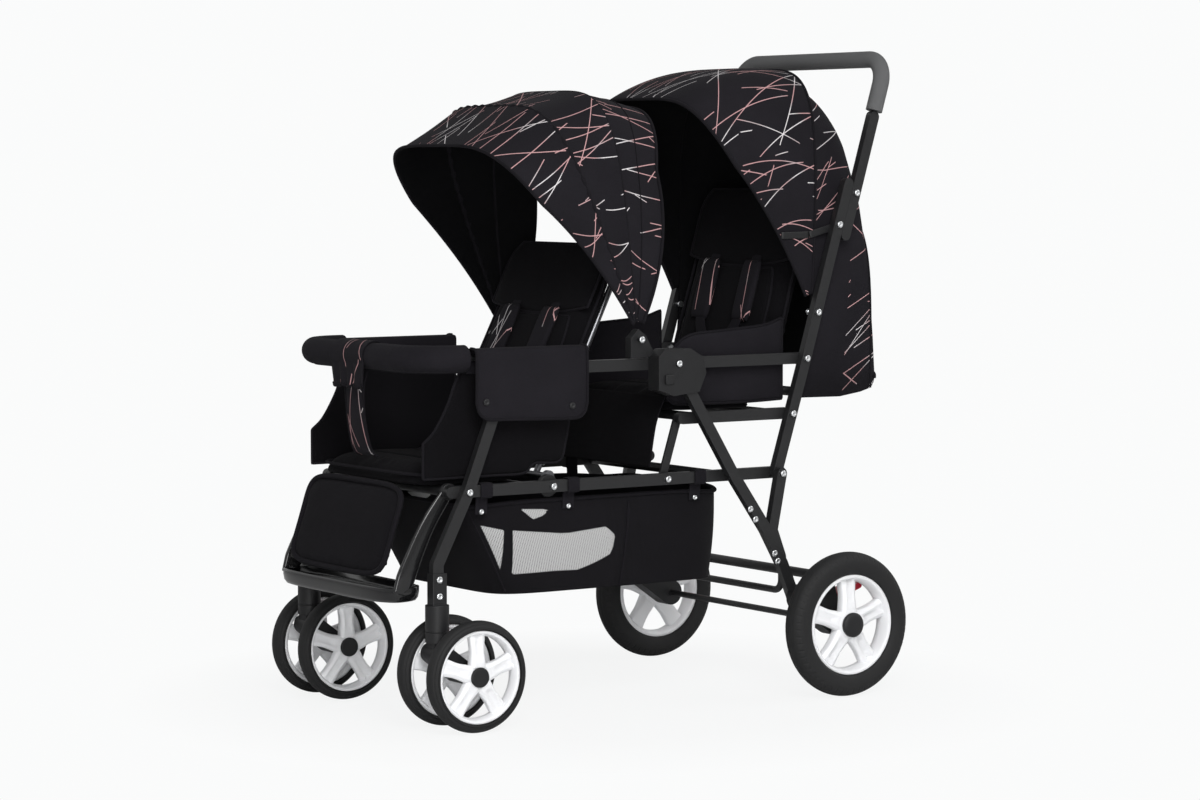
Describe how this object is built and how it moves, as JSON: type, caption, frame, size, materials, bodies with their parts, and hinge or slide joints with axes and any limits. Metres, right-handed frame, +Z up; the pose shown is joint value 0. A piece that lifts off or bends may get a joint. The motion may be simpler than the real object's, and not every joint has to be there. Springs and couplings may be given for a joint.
{
  "type": "tandem stroller",
  "caption": "Folding tandem pushchair with seats in line, hooped canopies, padded bumper, under-seat basket, swivelling caster wheels, foot brakes and a push handle.",
  "frame": {"origin": "middle of the outline on the floor plane, halfway between the sides and between the front and the rear", "axes": "+X to the child's left, +Y to the rear (towards the handle), +Z up"},
  "size_m": [0.5712, 0.9393, 1.0255],
  "materials": {
    "frame": "satin powder coat",
    "steel": "bright",
    "plastic": "matte",
    "tray": "gloss",
    "fabric": "woven",
    "print": "woven with a line print",
    "rim": "semi-gloss",
    "tyre": "matte",
    "red": "semi-gloss",
    "foam": "matte foam"
  },
  "bodies": {
    "chassis": {"lower_rails": "frame", "chassis_pins": "steel", "basket": "fabric", "front_seat_pad": "fabric", "front_seat_sides": "fabric", "footrest": "tray"},
    "calf": {"calf_rest": "fabric"},
    "front_back_hub": {"recline_hubs": "plastic"},
    "front_backrest": {"front_back_rod": "frame", "front_back_pad": "fabric", "front_harness": "print"},
    "front_legs": {"front_legs": "frame", "caster_sockets": "plastic"},
    "caster_left": {"caster_fork_left": "plastic", "caster_axle_left": "plastic"},
    "caster_right": {"caster_fork_right": "plastic", "caster_axle_right": "plastic"},
    "caster_lock_left": {"caster_lock_left": "red"},
    "caster_lock_right": {"caster_lock_right": "red"},
    "handle": {"handle_tubes": "frame", "handle_upper": "frame", "handle_grip": "foam", "handle_pins": "steel", "rear_cover": "fabric"},
    "rear_canopy": {"rear_canopy_front": "fabric"},
    "rear_backrest": {"rear_back_pad": "fabric", "rear_harness": "print"},
    "upper_rails": {"upper_rails": "frame", "lock_housings": "plastic", "arm_flaps": "fabric", "front_canopy_back": "fabric"},
    "fold_catches": {"lock_catches": "plastic"},
    "front_canopy_mid": {"front_canopy_mid": "fabric"},
    "front_canopy_visor": {"front_canopy_visor": "fabric"},
    "bumper": {"bumper_bar": "frame", "bumper_pad": "foam", "bumper_strap": "print"},
    "seat_support": {"seat_support": "frame"},
    "rear_seat": {"rear_seat_base": "frame", "rear_seat_pad": "fabric", "rear_seat_sides": "fabric"},
    "rear_legs": {"rear_legs": "frame", "rear_crossbars": "frame", "axle_housings": "plastic", "rear_axle": "steel"},
    "brake_left": {"brake_pedal_left": "red"},
    "brake_right": {"brake_pedal_right": "red"},
    "rear_wheel_left": {"rear_rim_left": "rim", "rear_tyre_left": "tyre"},
    "rear_wheel_right": {"rear_rim_right": "rim", "rear_tyre_right": "tyre"},
    "front_wheel_left_outer": {"front_rim_left_outer": "rim", "front_tyre_left_outer": "tyre"},
    "front_wheel_left_inner": {"front_rim_left_inner": "rim", "front_tyre_left_inner": "tyre"},
    "front_wheel_right_outer": {"front_rim_right_outer": "rim", "front_tyre_right_outer": "tyre"},
    "front_wheel_right_inner": {"front_rim_right_inner": "rim", "front_tyre_right_inner": "tyre"}
  },
  "joints": [
    {"name": "frame_fold", "type": "hinge", "parent": "chassis", "child": "handle", "pos_m": [0, 0.2354, 0.355], "axis": [1, 0, 0], "range_deg": [0, 80], "deforming": ["basket", "front_seat_pad", "front_seat_sides", "rear_seat_pad", "rear_seat_sides", "arm_flaps", "bumper_strap", "front_canopy_back", "front_canopy_mid", "front_canopy_visor", "rear_canopy_front", "rear_cover"]},
    {"name": "front_leg_fold", "type": "hinge", "parent": "chassis", "child": "front_legs", "pos_m": [0, -0.3406, 0.355], "axis": [1, 0, 0], "range_deg": [0, 80]},
    {"name": "rear_leg_fold", "type": "hinge", "parent": "chassis", "child": "rear_legs", "pos_m": [0, 0.2354, 0.355], "axis": [1, 0, 0], "range_deg": [0, 64]},
    {"name": "upper_rail_fold", "type": "hinge", "parent": "handle", "child": "upper_rails", "pos_m": [0, 0.2924, 0.535], "axis": [1, 0, 0], "range_deg": [-80, 0]},
    {"name": "support_fold", "type": "hinge", "parent": "chassis", "child": "seat_support", "pos_m": [0, 0.0304, 0.355], "axis": [1, 0, 0], "range_deg": [0, 80]},
    {"name": "seat_base_fold", "type": "hinge", "parent": "handle", "child": "rear_seat", "pos_m": [0, 0.26487, 0.44806], "axis": [1, 0, 0], "range_deg": [-80, 0]},
    {"name": "front_back_fold", "type": "hinge", "parent": "chassis", "child": "front_back_hub", "pos_m": [0, -0.1826, 0.355], "axis": [1, 0, 0], "range_deg": [0, 88]},
    {"name": "front_recline", "type": "hinge", "parent": "front_back_hub", "child": "front_backrest", "pos_m": [0, -0.1826, 0.355], "axis": [1, 0, 0], "range_deg": [-20, 0]},
    {"name": "rear_recline", "type": "hinge", "parent": "handle", "child": "rear_backrest", "pos_m": [0, 0.2784, 0.482], "axis": [1, 0, 0], "range_deg": [-20, 0]},
    {"name": "front_canopy_fold", "type": "hinge", "parent": "upper_rails", "child": "front_canopy_visor", "pos_m": [0, -0.0276, 0.574], "axis": [1, 0, 0], "range_deg": [-32, 0]},
    {"name": "front_canopy_mid_fold", "type": "hinge", "parent": "upper_rails", "child": "front_canopy_mid", "pos_m": [0, -0.0276, 0.574], "axis": [1, 0, 0], "range_deg": [-16, 0]},
    {"name": "rear_canopy_fold", "type": "hinge", "parent": "handle", "child": "rear_canopy", "pos_m": [0, 0.3144, 0.608], "axis": [1, 0, 0], "range_deg": [-26, 0]},
    {"name": "calf_raise", "type": "hinge", "parent": "chassis", "child": "calf", "pos_m": [0, -0.4078, 0.367], "axis": [1, 0, 0], "range_deg": [-60, 0]},
    {"name": "bumper_pull", "type": "slide", "parent": "upper_rails", "child": "bumper", "axis": [0, 1, 0], "range_m": [-0.1, 0]},
    {"name": "catch_release", "type": "slide", "parent": "upper_rails", "child": "fold_catches", "axis": [0, 0, 1], "range_m": [0, 0.008], "stiffness_N_per_m": 400, "springref_m": -0.002},
    {"name": "caster_swivel_left", "type": "hinge", "parent": "front_legs", "child": "caster_left", "pos_m": [0.1935, -0.3936, 0.15], "axis": [0, 0, 1], "continuous": true},
    {"name": "caster_lock_left_press", "type": "hinge", "parent": "caster_left", "child": "caster_lock_left", "pos_m": [0.1935, -0.3708, 0.135], "axis": [1, 0, 0], "range_deg": [0, 18]},
    {"name": "front_wheel_left_outer_spin", "type": "hinge", "parent": "caster_left", "child": "front_wheel_left_outer", "pos_m": [0.2355, -0.3516, 0.084], "axis": [1, 0, 0], "continuous": true},
    {"name": "front_wheel_left_inner_spin", "type": "hinge", "parent": "caster_left", "child": "front_wheel_left_inner", "pos_m": [0.1515, -0.3516, 0.084], "axis": [1, 0, 0], "continuous": true},
    {"name": "rear_wheel_left_spin", "type": "hinge", "parent": "rear_legs", "child": "rear_wheel_left", "pos_m": [0.2656, 0.3224, 0.115], "axis": [1, 0, 0], "continuous": true},
    {"name": "brake_left_press", "type": "hinge", "parent": "rear_legs", "child": "brake_left", "pos_m": [0.2276, 0.32783, 0.15808], "axis": [1, 0, 0], "range_deg": [-20, 0]},
    {"name": "caster_swivel_right", "type": "hinge", "parent": "front_legs", "child": "caster_right", "pos_m": [-0.1935, -0.3936, 0.15], "axis": [0, 0, 1], "continuous": true},
    {"name": "caster_lock_right_press", "type": "hinge", "parent": "caster_right", "child": "caster_lock_right", "pos_m": [-0.1935, -0.3708, 0.135], "axis": [1, 0, 0], "range_deg": [0, 18]},
    {"name": "front_wheel_right_outer_spin", "type": "hinge", "parent": "caster_right", "child": "front_wheel_right_outer", "pos_m": [-0.2355, -0.3516, 0.084], "axis": [1, 0, 0], "continuous": true},
    {"name": "front_wheel_right_inner_spin", "type": "hinge", "parent": "caster_right", "child": "front_wheel_right_inner", "pos_m": [-0.1515, -0.3516, 0.084], "axis": [1, 0, 0], "continuous": true},
    {"name": "rear_wheel_right_spin", "type": "hinge", "parent": "rear_legs", "child": "rear_wheel_right", "pos_m": [-0.2656, 0.3224, 0.115], "axis": [1, 0, 0], "continuous": true},
    {"name": "brake_right_press", "type": "hinge", "parent": "rear_legs", "child": "brake_right", "pos_m": [-0.2276, 0.32783, 0.15808], "axis": [1, 0, 0], "range_deg": [-20, 0]}
  ],
  "couplings": [
    {"joint": "front_leg_fold", "follows": "frame_fold", "ratio": 1},
    {"joint": "rear_leg_fold", "follows": "frame_fold", "ratio": 0.8},
    {"joint": "upper_rail_fold", "follows": "frame_fold", "ratio": -1},
    {"joint": "support_fold", "follows": "frame_fold", "ratio": 1},
    {"joint": "seat_base_fold", "follows": "frame_fold", "ratio": -1},
    {"joint": "front_back_fold", "follows": "frame_fold", "ratio": 1.1},
    {"joint": "front_canopy_mid_fold", "follows": "front_canopy_fold", "ratio": 0.5}
  ]
}
